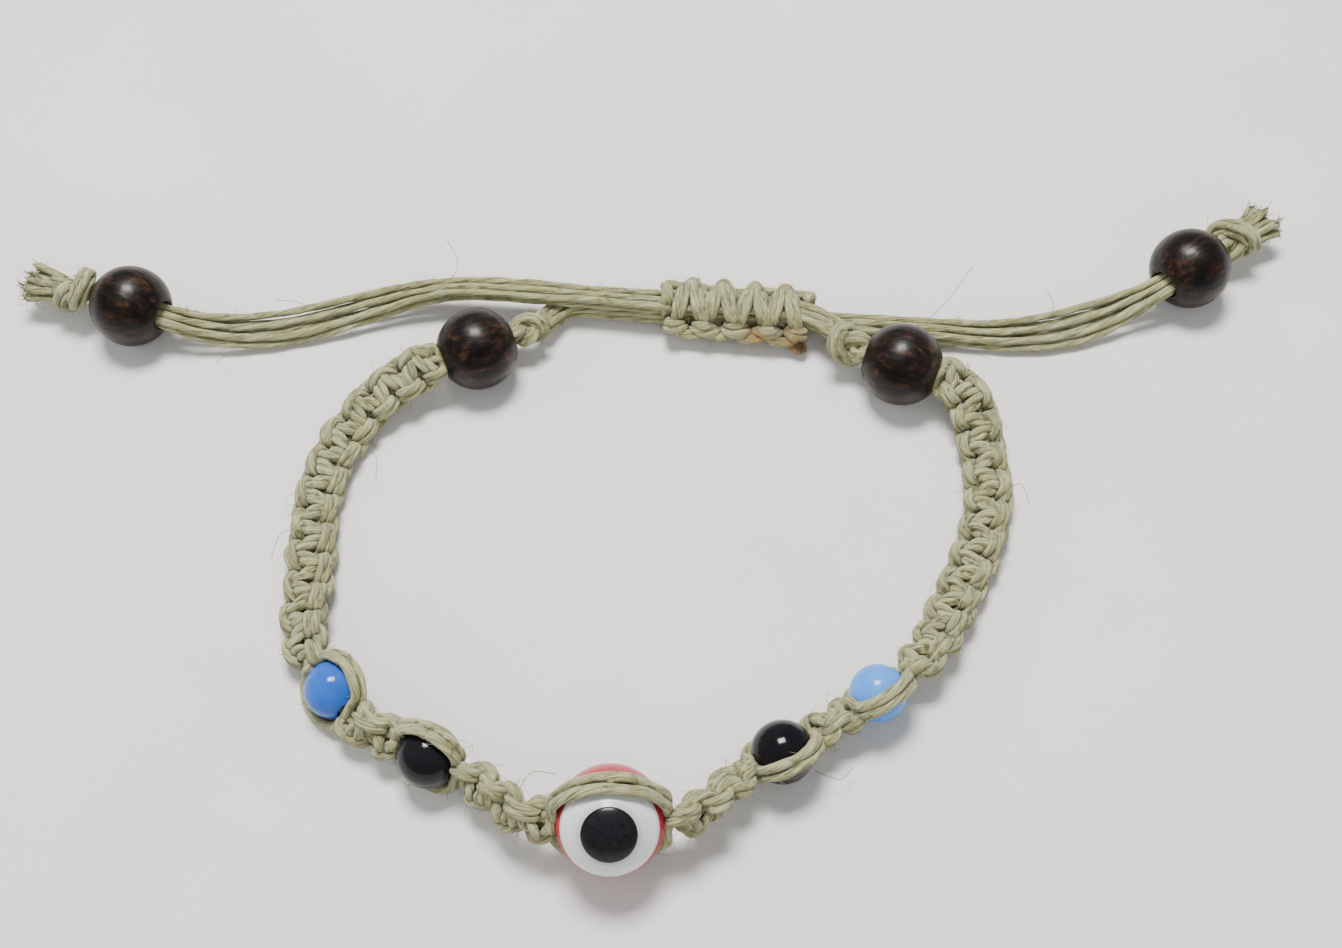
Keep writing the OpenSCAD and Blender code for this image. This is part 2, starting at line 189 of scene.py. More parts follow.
def wood_material():
    """Near-black stained wood, varnished, with reddish-brown grain along the bore (the piece's own X)."""
    mat, tree, shader = material("dark_stained_wood")
    where = attribute(tree, "grain")
    grain = noise(tree, where, 1.1, 5.0, 0.62, (0.28, 1.5, 1.5))
    pores = noise(tree, where, 5.0, 2.0, 0.5, (0.12, 1.6, 1.6))
    wear = noise(tree, where, 0.42, 3.0, 0.6)
    colour = ramp(tree, grain, [(0.36, (0.004, 0.003, 0.0028)), (0.48, (0.010, 0.0055, 0.0038)),
                                (0.60, (0.036, 0.016, 0.008)), (0.74, (0.085, 0.038, 0.017))])
    shade = ramp(tree, wear, [(0.46, (0.20, 0.19, 0.19)), (0.62, grey(1.0))])
    put(tree, shader, Base_Color=mixed(tree, 0.9, colour, shade, "MULTIPLY"),
        Roughness=ramp(tree, pores, [(0.3, grey(0.30)), (0.7, grey(0.44))]),
        Normal=bump(tree, (pores, 0.35, 0.00008), (grain, 0.30, 0.0002)),
        Specular_IOR_Level=0.16, Coat_Weight=0.14, Coat_Roughness=0.20)
    return mat


def glass_material(name, deep, bright, rough, **more):
    """Opaque glossy glass with faint swirls and tiny scratches."""
    mat, tree, shader = material(name)
    where = attribute(tree, "grain")
    swirl = noise(tree, where, 0.30, 3.0, 0.5, (0.5, 1.0, 1.0))
    fine = noise(tree, where, 6.0, 2.0, 0.5)
    put(tree, shader, Base_Color=ramp(tree, swirl, [(0.3, deep), (0.7, bright)]),
        Roughness=ramp(tree, fine, [(0.4, grey(rough)), (0.7, grey(rough + 0.06))]),
        Normal=bump(tree, (noise(tree, where, 0.8, 2.0, 0.5), 0.05, 0.0001)),
        IOR=1.5, Specular_IOR_Level=0.24, **more)
    return mat


def white_resin():
    """White resin, faintly ringed: the grain attribute's X is the angle from the pupil's middle in degrees."""
    mat, tree, shader = material("white_resin")
    polar = attribute(tree, "grain")
    angle = node(tree, "ShaderNodeSeparateXYZ", Vector=polar).outputs["X"]
    times = node(tree, "ShaderNodeMath", operation="MULTIPLY", Value=angle)
    times.inputs[1].default_value = 0.72
    wave = node(tree, "ShaderNodeMath", operation="SINE", Value=times.outputs[0]).outputs[0]
    half = ranged(tree, wave, From_Min=-1)
    rings = ramp(tree, half, [(0.1, (0.655, 0.68, 0.67)), (0.9, (0.72, 0.74, 0.725))])
    edges = ramp(tree, ranged(tree, angle, From_Min=30, From_Max=60),
                 [(0.0, (0.60, 0.63, 0.62)), (0.28, (0.86, 0.88, 0.87)), (0.80, grey(1)),
                  (1.0, (0.93, 0.82, 0.82))])
    soft = ramp(tree, noise(tree, polar, 0.05, 3.0, 0.5), [(0.3, (0.94, 0.95, 0.97)), (0.7, grey(1))])
    colour = mixed(tree, 1.0, mixed(tree, 1.0, rings, edges, "MULTIPLY"), soft, "MULTIPLY")
    fine = noise(tree, polar, 0.4, 2.0, 0.5)
    put(tree, shader, Base_Color=colour, Roughness=ramp(tree, fine, [(0.35, grey(0.16)), (0.7, grey(0.24))]),
        Normal=bump(tree, (half, 0.12, 0.0001)), Subsurface_Weight=0.2, Subsurface_Scale=0.0008)
    return mat


def floor_material():
    mat, tree, shader = material("pale_floor")
    n = noise(tree, own_place(tree), 35, 4.0, 0.55)
    put(tree, shader, Base_Color=ramp(tree, n, [(0.3, (0.66, 0.645, 0.62)), (0.7, (0.70, 0.69, 0.665))]),
        Roughness=0.85)
    return mat


HEMP = hemp_material("hemp_fibre", (0.50, 0.505, 0.29), (0.335, 0.34, 0.175), (0.14, 0.138, 0.058))
WOOD = wood_material()
BLACK_GLASS = glass_material("black_glass", (0.003, 0.003, 0.004), (0.008, 0.008, 0.010), 0.10)
BLUE_LEFT = glass_material("blue_glass_deep", (0.013, 0.078, 0.38), (0.030, 0.140, 0.54), 0.13)
BLUE_RIGHT = glass_material("blue_glass_light", (0.050, 0.22, 0.66), (0.105, 0.33, 0.80), 0.12)
EYE_RED = glass_material("red_resin", (0.34, 0.016, 0.034), (0.48, 0.040, 0.066), 0.14, Subsurface_Weight=0.30,
                         Subsurface_Radius=(1.0, 0.25, 0.25), Subsurface_Scale=0.0015)
WHITE = white_resin()
BLACK_RESIN = glass_material("black_resin", (0.004, 0.004, 0.005), (0.010, 0.010, 0.012), 0.24)


def new_object(name, verts, faces, mat, smooth=True, **attributes):
    """A mesh piece from points in millimetres."""
    mesh = bpy.data.meshes.new(name)
    mesh.from_pydata((np.asarray(verts, float) * MM).tolist(), [], [list(map(int, f)) for f in faces])
    for key, values in attributes.items():
        values = np.asarray(values, np.float32)
        kind = "FLOAT" if values.ndim == 1 else "FLOAT_VECTOR"
        layer = mesh.attributes.new(key, kind, "POINT")
        layer.data.foreach_set("value" if values.ndim == 1 else "vector", values.ravel())
    mesh.polygons.foreach_set("use_smooth", [smooth] * len(mesh.polygons))
    mesh.materials.append(mat)
    mesh.update()
    obj = bpy.data.objects.new(name, mesh)
    scene.collection.objects.link(obj)
    return obj


FLOOR = 4000
floor = new_object("floor", [(-FLOOR, -FLOOR, 0), (FLOOR, -FLOOR, 0), (FLOOR, FLOOR, 0), (-FLOOR, FLOOR, 0)],
                   [(0, 1, 2, 3)], floor_material(), False)


def belongs(piece, body, slot, *nodes):
    """The piece moves with a CAD body and stands for CAD nodes, which are hidden. The slot argument is not used."""
    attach(piece, body)
    if nodes:
        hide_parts(*nodes)


# ---- tubes
def unit(v):
    v = np.asarray(v, float)
    return v / (np.linalg.norm(v, axis=-1, keepdims=True) + 1e-12)


def along(points):
    return np.concatenate([[0], np.cumsum(np.linalg.norm(np.diff(points, axis=0), axis=1))])


def catmull(points, steps):
    p = np.asarray(points, float)
    out = []
    for k in range(len(p) - 1):
        a, b, c, d = p[max(k - 1, 0)], p[k], p[k + 1], p[min(k + 2, len(p) - 1)]
        for t in np.arange(steps) / steps:
            out.append(0.5 * (2 * b + (c - a) * t + (2 * a - 5 * b + 4 * c - d) * t * t
                              + (3 * b - a - 3 * c + d) * t ** 3))
    return np.array(out + [p[-1]])


def at_shares(points, shares):
    """The points that lie at the given shares of a path's length."""
    s = along(points)
    return np.stack([np.interp(shares * s[-1], s, points[:, j]) for j in range(points.shape[1])], 1)


def evenly(points, spacing):
    p = np.asarray(points, float)
    return at_shares(p, np.linspace(0, 1, max(3, int(round(along(p)[-1] / spacing)) + 1)))


def smoothed(points, rounds):
    p = np.array(points, float)
    for _ in range(rounds):
        p[1:-1] += 0.5 * ((p[:-2] + p[2:]) / 2 - p[1:-1])
    return p


def ring_quads(rings, sides, closed):
    """Faces between rings of points; if closed, the last ring joins the first."""
    k = np.arange(rings if closed else rings - 1)[:, None]
    j = np.arange(sides)[None, :]
    k, k2, j2 = k * sides, (k + 1) % rings * sides, (j + 1) % sides
    return np.stack([k + j, k2 + j, k2 + j2, k + j2], 2).reshape(-1, 4)


POINT_GAP = 0.16  # between the points of a knotted strand
FLOOR_GAP = 0.05


def wobble(count, wavelength, amplitude, columns=3, spacing=POINT_GAP):
    """Smooth random drift for the points of a strand."""
    knots = max(4, int(count * spacing / wavelength) + 3)
    out = []
    for _ in range(columns):
        out.append(catmull(rng.normal(0, amplitude, knots)[:, None], 12)[:, 0])
    q = np.linspace(0, 1, count)
    return np.stack([np.interp(q, np.linspace(0, 1, len(v)), v) for v in out], 1)


def frames(points):
    """Two normals carried along the path without twisting."""
    t = unit(np.gradient(points, axis=0))
    n = np.zeros_like(t)
    first = np.cross(t[0], (0, 0, 1.0))
    if np.linalg.norm(first) < 0.1:
        first = np.cross(t[0], (0, 1.0, 0))
    n[0] = unit(first)
    for k in range(1, len(t)):
        v = n[k - 1] - t[k] * np.dot(n[k - 1], t[k])
        n[k] = v / (np.linalg.norm(v) + 1e-12)
    return n, np.cross(t, n)


def uneven(radius, count, wavelength, amount, spacing=POINT_GAP):
    """A strand's radius at each point, a little thick and thin."""
    return radius * (1 + wobble(count, wavelength, amount, 1, spacing)[:, 0])


TWIST = 0.5  # radians for each millimetre of a strand
FUZZ_R, HAIR_SIDES = 0.022, 4


class Tubes:
    """Collects closed tubes into one mesh, each with ridges that wind along it."""

    def __init__(self):
        self.verts, self.faces, self.fibre, self.burn, self.count = [], [], [], [], 0
        self.middles, self.own = [], []  # each ring's middle and radius, and each point's own middle

    def add(self, points, radius, sides=12, ridge=0.07, burn=None, round_ends=True):
        p = np.asarray(points, float)
        n = len(p)
        r = np.full(n, radius) if np.isscalar(radius) else np.array(radius, float)
        s = along(p)
        if round_ends:  # two small rings close each end like a soft cut
            head, tail = unit(p[0] - p[1]), unit(p[-1] - p[-2])
            p = np.vstack([p[0] + head * r[0] * 0.45, p[0] + head * r[0] * 0.3, p,
                           p[-1] + tail * r[-1] * 0.3, p[-1] + tail * r[-1] * 0.45])
            r = np.concatenate([[r[0] * 0.45, r[0] * 0.8], r, [r[-1] * 0.8, r[-1] * 0.45]])
            s = np.concatenate([[s[0] - r[0], s[0]], s, [s[-1], s[-1] + r[-1]]])
            n += 4
        a, b = frames(p)
        angle = np.arange(sides) * 2 * math.pi / sides
        phase = rng.uniform(0, 6.28)
        turn = angle[None, :] + TWIST * s[:, None] + phase
        lobes = 1 + ridge * np.cos(3 * turn) + ridge * 0.6 * np.cos(2 * turn + 1.3 + 0.7 * s[:, None])
        rr = r[:, None] * lobes
        ring = (p[:, None, :] + a[:, None, :] * (rr * np.cos(angle))[:, :, None]
                + b[:, None, :] * (rr * np.sin(angle))[:, :, None])
        base = self.count
        self.verts.append(ring.reshape(-1, 3))
        self.middles.append(np.concatenate([p, r[:, None]], 1))
        self.own.append(np.repeat(p, sides, 0))
        shift = rng.uniform(0, 400)
        length = np.repeat(s[:, None] + shift, sides, 1)
        self.fibre.append(np.stack([np.cos(turn), np.sin(turn), length], 2).reshape(-1, 3))
        self.burn.append(np.zeros(n * sides) if burn is None else burn(ring.reshape(-1, 3)))
        self.faces.extend((ring_quads(n, sides, False)[:, [0, 3, 2, 1]] + base).tolist())
        self.faces.append([base + i for i in range(sides)][::-1])
        self.faces.append([base + (n - 1) * sides + i for i in range(sides)])
        self.count += n * sides

    def hair(self, points, radius):
        """One loose fibre through three points, kept off the floor."""
        q = np.array(points)
        q[:, 2] = np.maximum(q[:, 2], FLOOR_GAP)
        self.add(catmull(q, 3), radius, HAIR_SIDES, 0, round_ends=False)

    def fuzz(self, count, reach=(0.4, 1.5)):
        """Fine loose fibres that lift off the strands, away from the floor and the beads."""
        verts, own = np.vstack(self.verts), np.vstack(self.own)
        for k in rng.integers(0, len(verts) - 30, count):
            out = unit(verts[k] - own[k])
            lie = unit(own[k + 24] - own[k]) if np.linalg.norm(own[k + 24] - own[k]) > 1e-6 else out
            if verts[k][2] < 0.3 or any(np.linalg.norm(verts[k] - at) < r + 0.35 for at, r in BEADS):
                continue
            far = rng.uniform(*reach)
            way = unit(lie * rng.choice([-1, 1]) * 0.9 + out * rng.uniform(0.25, 0.9) + rng.normal(0, 0.35, 3))
            bend = rng.normal(0, 0.16, 3) * far + out * 0.1
            self.hair([verts[k] - out * 0.06, verts[k] + way * far * 0.5 + bend, verts[k] + way * far], FUZZ_R)

    def crevices(self):
        """How deep each point lies between neighbouring strands, from 0 to 1: how much painted shade darkens the hemp
        there.
        """
        middles = np.vstack(self.middles)
        tree = kdtree.KDTree(len(middles))
        for k, m in enumerate(middles):
            tree.insert(m[:3], k)
        tree.balance()
        verts, own = np.vstack(self.verts), np.vstack(self.own)
        probes = verts + unit(verts - own) * 0.3
        out = np.empty(len(verts))
        for k, q in enumerate(probes.tolist()):
            _, nearest, gap = tree.find(q)
            out[k] = (middles[nearest, 3] + 0.28 - gap) / 0.36
        return np.clip(out, 0, 1)

    def piece(self, name, mat, shaded=True):
        # painted shade between strands, stored on each point
        deep = self.crevices() if shaded else np.zeros(self.count)
        return new_object(name, np.vstack(self.verts), self.faces, mat,
                          fibre=np.vstack(self.fibre), burn=np.concatenate(self.burn), crevice=deep)


# ---- the band's places, as in the CAD (mm)
STRAND_D = 0.8
STEP = STRAND_D + 0.01
WOOD_D, WOOD_LEN = 8.5, 7.8
BAND_T = 3.1
WRAP_GAP, FACE_GAP = 0.15, 0.3
STRAND_R = 0.385


def flat(deg):
    return np.array([math.cos(math.radians(deg)), math.sin(math.radians(deg)), 0.0])


def bead_place(x, y, heading, roll, r):
    """A bead's middle, heading, roll and radius; it rests on the floor or on the cords that pass under it."""
    reach = r + WRAP_GAP + STRAND_D / 2
    height = max(r, reach * abs(math.sin(math.radians(roll))) + STRAND_D / 2) + 0.02
    return (np.array([x, y, height]), heading, roll, r)


def band_place(x, y, heading, roll):
    return (np.array([x, y, BAND_T / 2 + 0.1]), heading, roll, 0.0)


EYE_R, BLACK_R, BLUE_R = 5.0, 3.0, 2.75
INNER_LEFT = (np.array([-20.2, 23.8, WOOD_D / 2]), 208, 205, WOOD_LEN / 2)
BLUE_LEFT_AT = bead_place(-28.5, -14.8, 312, 131, BLUE_R)
BLACK_LEFT_AT = bead_place(-18.4, -20.9, 338, 108, BLACK_R)
EYE_AT = bead_place(-1, -26.2, 366, 104, EYE_R)
BLACK_RIGHT_AT = bead_place(14, -17.4, 396, 48, BLACK_R)
BLUE_RIGHT_AT = bead_place(22.6, -10.8, 401, 56, BLUE_R)
INNER_RIGHT = (np.array([23.9, 25.7, WOOD_D / 2]), 524, 10, WOOD_LEN / 2)
SIDE_LEFT = [band_place(-32.8, 13, 250, 182), band_place(-33.5, -1, 279, 176)]
SIDE_RIGHT = [band_place(30.4, 1.4, 428, 17), band_place(32.8, 16.5, 461, 14)]
BEADS = [(p[0], p[3]) for p in (BLUE_LEFT_AT, BLACK_LEFT_AT, EYE_AT, BLACK_RIGHT_AT, BLUE_RIGHT_AT)]
LEFT_KNOT = np.array([-15.272, 27.116, 3.5])
RIGHT_KNOT = np.array([18.390, 27.919, 3.85])
CLOSURE_Y, LOW_Z, HIGH_Z = 32.01, 1.675, 3.435
STRAIGHT_LEFT_X, STRAIGHT_RIGHT_X = -11.67, 14.29
SLIDER_X, SLIDER_LEN, SLIDER_Z = 6.39, 15.0, 2.555
LEFT_END, LEFT_END_HEADING = np.array([-57.372, 26.01, WOOD_D / 2]), 166
RIGHT_END, RIGHT_END_HEADING = np.array([54.290, 40.71, WOOD_D / 2]), 42


class Line:
    """The band's middle line: P holds its points, U its width direction and V its thickness direction."""

    def __init__(self):
        self.p, self.d, self.roll, self.marks = [], [], [], {}

    def bead(self, name, place):
        self.marks[name] = len(self.p)
        for x in np.linspace(-place[3], place[3], 15):
            self.p.append(place[0] + flat(place[1]) * x)
            self.d.append(flat(place[1]))
            self.roll.append(place[2])
        self.marks[name + "_end"] = len(self.p) - 1

    def span(self, a, b, gap_a, gap_b):
        p0 = a[0] + flat(a[1]) * (a[3] + gap_a)
        p3 = b[0] - flat(b[1]) * (b[3] + gap_b)
        reach = np.linalg.norm(p3 - p0) * (0.34 + abs(b[1] - a[1]) / 1200)
        q = [p0, p0 + flat(a[1]) * reach, p3 - flat(b[1]) * reach, p3]
        for t in np.linspace(0, 1, 41):
            w = 1 - t
            self.p.append(w ** 3 * q[0] + 3 * t * w ** 2 * q[1] + 3 * t * t * w * q[2] + t ** 3 * q[3])
            self.d.append(unit(w ** 2 * (q[1] - q[0]) + 2 * t * w * (q[2] - q[1]) + t * t * (q[3] - q[2])))
            self.roll.append(a[2] + (b[2] - a[2]) * t)

    def close(self):
        p, d, roll = np.array(self.p), unit(np.array(self.d)), np.radians(self.roll)
        self.s = along(p)
        out = unit(np.stack([d[:, 1], -d[:, 0], 0 * d[:, 0]], 1))
        up = np.cross(out, d)
        c, s = np.cos(roll)[:, None], np.sin(roll)[:, None]
        self.P, self.U, self.V = p, out * c + up * s, up * c - out * s

    def at(self, s, u, v):
        s = np.clip(s, 0, self.s[-1])
        p, side, up = (np.stack([np.interp(s, self.s, a[:, j]) for j in range(3)], 1)
                       for a in (self.P, self.U, self.V))
        return p + unit(side) * u[:, None] + unit(up) * v[:, None]


line = Line()
chain = [("inner_left", INNER_LEFT), *[("side", p) for p in SIDE_LEFT], ("blue_left", BLUE_LEFT_AT),
         ("black_left", BLACK_LEFT_AT), ("eye", EYE_AT), ("black_right", BLACK_RIGHT_AT),
         ("blue_right", BLUE_RIGHT_AT), *[("side", p) for p in SIDE_RIGHT], ("inner_right", INNER_RIGHT)]
for (name_a, a), (name_b, b) in zip(chain[:-1], chain[1:]):
    if name_a != "side":
        line.bead(name_a, a)
    line.span(a, b, FACE_GAP if name_a != "side" else 0, FACE_GAP if name_b != "side" else 0)
line.bead("inner_right", INNER_RIGHT)
line.close()
mark = {k: line.s[v] for k, v in line.marks.items()}


def middle(bead):
    return (mark[bead] + mark[bead + "_end"]) / 2


def past_inner_beads(s):
    """How far a length lies from the nearer inner wooden bead."""
    return np.minimum(s - mark["inner_left_end"], mark["inner_right"] - s)


# ---- one square knot, pulled tight
def pushed(diff, gap, over):
    """How far each point is pushed by those that it overlaps."""
    return (diff / gap[..., None] * over[..., None]).sum(1) / np.sqrt(np.maximum(1, (over > 0).sum(1)))[:, None]


def tight_half_knot(pitch, core, core_d, u0, w0, v0, d, steps=420, tension=0.06, bend=0.05, points=36):
    """Half a square knot of a doubled cord A over the core strands, between points d apart. Cord B is A turned half
    round the core line, and each half knot is the last one mirrored. The strands start thin and apart, and are pulled
    tight while they swell. u0 and v0 are how far out and up they start, and w0 how far down."""
    lean = 0.24 * pitch
    row = [(0, -u0, -w0), (0.5 * pitch + lean, -u0 + 0.15, -0.1), (0.5 * pitch + lean / 2, -u0 * 0.46, v0),
           (0.5 * pitch, 0, v0), (0.5 * pitch - lean / 2, u0 * 0.46, v0), (0.5 * pitch - lean, u0 - 0.15, -0.1)]
    ends = [(t - pitch, -u, v) for t, u, v in row[-2:]], [(t + pitch, -u, v) for t, u, v in row[:3]]
    shares = np.arange(points) / points
    path = at_shares(evenly(catmull([*ends[0], *row, *ends[1]], 8)[16:-16], 0.01), shares)
    slope = np.gradient(path, axis=0)
    side = unit(np.stack([-slope[:, 1], slope[:, 0], 0 * slope[:, 0]], 1))
    half = np.stack([path - side * 0.12, path + side * 0.12])
    mirror, turned = np.array([1.0, -1, 1]), np.array([1.0, -1, -1])
    step = np.array([pitch, 0, 0])
    core = np.array(core, float)
    index = np.arange(3 * points)
    own = np.zeros((2 * points, 20 * points), bool)  # points close along one strand don't push each other
    own[:, :6 * points] = np.kron(np.eye(2), abs(index[points:2 * points, None] - index) <= 8)
    for k in range(steps):
        now = 0.24 + (d - 0.24) * min(1.0, k / (steps * 0.6))
        swapped = half[::-1] * mirror
        ring = np.concatenate([swapped - step, half, swapped + step], 1)
        mid = ring[:, points:2 * points]
        lap = (ring[:, :-2] + ring[:, 2:]) / 2 - ring[:, 1:-1]
        lap_mid = lap[:, points - 1:2 * points - 1]
        lap_side = (lap[:, points - 2:2 * points - 2] + lap[:, points:2 * points]) / 2
        move = tension * lap_mid + bend * (lap_mid - lap_side)
        every = np.concatenate([ring, ring * turned], 0)
        far = np.concatenate([every[:, :points] + 2 * step, every[:, 2 * points:] - 2 * step], 1)
        cloud = np.concatenate([every.reshape(-1, 3), far.reshape(-1, 3)])
        mine = mid.reshape(-1, 3)
        diff = mine[:, None, :] - cloud[None, :, :]
        gap = np.sqrt((diff ** 2).sum(-1)) + 1e-9
        over = np.clip(now - gap, 0, None)
        over[own] = 0
        push = pushed(diff, gap, over) * 0.4
        diff_c = mine[:, None, 1:] - core[None, :, :]
        gap_c = np.sqrt((diff_c ** 2).sum(-1)) + 1e-9
        push_c = (diff_c / gap_c[..., None] * np.clip((now + core_d) / 2 - gap_c, 0, None)[..., None]).sum(1)
        push[:, 1:] += push_c * 0.8
        half = mid + move + push.reshape(2, points, 3)
        if k % 10 == 9:  # the points keep an even spacing along the cord
            swapped = half[::-1] * mirror
            for i in (0, 1):
                half[i] = at_shares(np.vstack([half[i], swapped[i][:1] + step]), shares)
    return half


BAND_PITCH = 1.75
SWELL = 0.66  # distance between neighbouring strands once they are pulled tight
CELL_START = 3  # the first points of a stretch's first half knot, which would lie before the stretch


def centred(cell, pitch):
    """The half knot moved along its line so that it reaches as far past one end as past the other."""
    return cell - [(cell[..., 0].min() + cell[..., 0].max() - pitch) / 2, 0, 0]


def strand_of(cell, i, mirrored, turn):
    """Strand i of a half knot, which may be mirrored; turn is 1 for cord A and -1 for cord B."""
    return cell[1 - i if mirrored else i] * [1, -turn if mirrored else turn, turn]


HALF_KNOT = tight_half_knot(BAND_PITCH, [(-0.33, 0), (0.33, 0)], 0.66, 1.75, 0.6, 0.95, SWELL)
HALF_KNOT = centred(HALF_KNOT * [1, 0.87, 1.08], BAND_PITCH)


class Cord:
    """One doubled working cord of the band: two strands built up as (length, u, v) points."""

    def __init__(self, turn):
        self.turn = turn
        self.strands = [[], []]

    def knots(self, s0, s1, count, parity):
        """count half knots of the shared cell between the lengths s0 and s1."""
        scale = (s1 - s0) / (count * BAND_PITCH)
        for k in range(count):
            grow = 1 + rng.normal(0, 0.035)
            for i in (0, 1):
                cell = strand_of(HALF_KNOT, i, (parity + k) % 2 == 1, self.turn)
                for t, u, v in cell[(CELL_START if k == 0 else 0):]:
                    s = min(max(s0 + (k * BAND_PITCH + t) * scale, s0), s1)
                    pull = 1 - 0.36 * math.exp(-max(0.0, min(s - s0, s1 - s)) / 1.0)
                    pull *= 1 - 0.5 * max(0.0, scale - 1.0)
                    self.strands[i].append((s, u * grow * pull, v * grow))

    def side(self, parity):
        return self.turn * (-1 if parity % 2 == 0 else 1)

    def bore(self, face, way, side):
        """Into (way 1) or out of (way -1) the bore of an inner wooden bead whose face is at that length."""
        for i in (0, 1):
            run = [(face + way * x, side * u, 0.42 if i else -0.42)
                   for x, u in ((0, 1.0), (0.6, 0.84), (ENTRY, 0.82))]
            self.strands[i] += run[::way]

    def wrap(self, bead, parity):
        """Round one side of a bead; the two strands change places where the knots on its two sides need it."""
        r, eye, side = BEAD_RADIUS[bead], bead == "eye", self.side(parity)
        reach = r + WRAP_GAP + STRAND_R * (1.6 if eye else 1.35)
        before = [strand[-1] for strand in self.strands]
        after = [strand_of(HALF_KNOT, i, parity % 2 == 1, self.turn)[CELL_START] for i in (0, 1)]
        turn_in, turn_out = (0.0 if a[2] >= b[2] else math.pi for a, b in (before, after))
        for x in np.linspace(-r - 0.05, r + 0.05, 17):
            mid = math.sqrt(max(reach ** 2 - x ** 2, 1.1))
            mix = min(1.0, max(0.0, (x / r - 0.45) / 0.5)) if eye else 0.5 + 0.5 * x / r
            turn = turn_in + (turn_out - turn_in) * mix
            spread = 0.41 + (0.17 * (1 - (x / r) ** 2) if eye else 0.03)
            lift = (spread - 0.10) * abs(math.sin(turn))
            for strand, sign in zip(self.strands, (1, -1)):
                u = mid + lift + sign * spread * math.sin(turn)
                strand.append((middle(bead) + x, side * u, sign * spread * math.cos(turn)))


# How many half knots lie on each stretch; a full square knot is two.
BAND_STRETCHES = [("inner_left", "blue_left", 23), ("blue_left", "black_left", 3), ("black_left", "eye", 6),
                  ("eye", "black_right", 6), ("black_right", "blue_right", 3), ("blue_right", "inner_right", 23)]
BEAD_RADIUS = {"blue_left": BLUE_R, "black_left": BLACK_R, "eye": EYE_R, "black_right": BLACK_R,
               "blue_right": BLUE_R}
ENTRY = 1.9  # how far the strands run on inside the inner wooden beads' bores
cords = [Cord(1.0), Cord(-1.0)]
parity = 0
for start, end, count in BAND_STRETCHES:
    s0, s1 = mark[start + "_end"] + FACE_GAP - 0.1, mark[end] - FACE_GAP + 0.1
    s0, s1 = s0 - 0.3 * (start == "inner_left"), s1 + 0.3 * (end == "inner_right")
    for c in cords:
        if start == "inner_left":
            c.bore(mark["inner_left_end"], -1, c.side(parity))
        c.knots(s0, s1, count, parity)
    parity += count
    for c in cords:
        if end in BEAD_RADIUS:
            c.wrap(end, parity)
        else:
            c.bore(mark[end], 1, c.side(parity))

strand_paths = [smoothed(evenly(np.array(strand), POINT_GAP), 4) for c in cords for strand in c.strands]
core_paths = []
for side in (-1, 1):
    s = np.arange(mark["inner_left_end"] - ENTRY, mark["inner_right"] + ENTRY, 0.4)
    turn = np.clip((past_inner_beads(s) + 0.2) / 1.2, 0, 1) * math.pi / 2
    core_paths.append(np.stack([s, side * 0.40 * np.sin(turn), side * 0.42 * np.cos(turn)], 1))

# The band is three pieces, cut at its two hinges: in the middle of a bead's wrap and just past a bead.
CUT_LEFT = middle("black_left")
CUT_RIGHT = mark["blue_right_end"] + 0.3


def fatness(s):
    """Strands swell a little where nothing squeezes them."""
    fat = np.full(len(s), 1.17)
    for bead, r in BEAD_RADIUS.items():
        fat += (0.26 if bead == "eye" else 0.10) * np.clip(1 - ((s - middle(bead)) / (r + 0.4)) ** 2, 0, 1)
    fat += 0.16 * ((s > mark["blue_left_end"] + 0.5) & (s < mark["black_left"] - 0.5))
    inner = past_inner_beads(s)
    fat += 0.16 * np.clip(1 - abs(inner - 0.9) / 1.2, 0, 1)
    return np.where(inner < 0.1, np.clip(1.2 + inner * 0.4, 1.0, 1.2), fat)


def band_piece(name, s_from, s_to, fibres):
    tubes = Tubes()
    for number, suv in enumerate(strand_paths + core_paths):
        # a strand goes back a little at each half knot, so one run is kept from the first to the last point
        inside = np.nonzero((suv[:, 0] >= s_from) & (suv[:, 0] <= s_to))[0]
        run = suv[inside[0]:inside[-1] + 1]
        p = line.at(*run.T)
        p = p + wobble(len(p), 1.6, 0.035)
        r = uneven(STRAND_R, len(p), 1.2, 0.05)
        if number < len(strand_paths):
            r = r * fatness(run[:, 0])
        p[:, 2] = np.maximum(p[:, 2], r * 1.12 + 0.01)
        tubes.add(p, r, ridge=0.09)
    tubes.fuzz(fibres)
    return tubes.piece(name, HEMP)


for side, s_from, s_to, fibres, nodes in (
        ("left", -math.inf, CUT_LEFT, 800,
         ("core_strands_left", "knots_black_to_blue_left", "cords_round_blue_bead_left", "side_knots_left",
          "strands_in_inner_bead_left")),
        ("front", CUT_LEFT, CUT_RIGHT, 800,
         ("core_strands_front", "knots_eye_to_black_left", "knots_eye_to_black_right", "knots_black_to_blue_right",
          "cords_round_eye_bead", "cords_round_black_bead_left", "cords_round_black_bead_right",
          "cords_round_blue_bead_right")),
        ("right", CUT_RIGHT, math.inf, 700,
         ("core_strands_right", "side_knots_right", "strands_in_inner_bead_right"))):
    belongs(band_piece(side + "_band_strands", s_from, s_to, fibres), side + "_band", "hemp", *nodes)


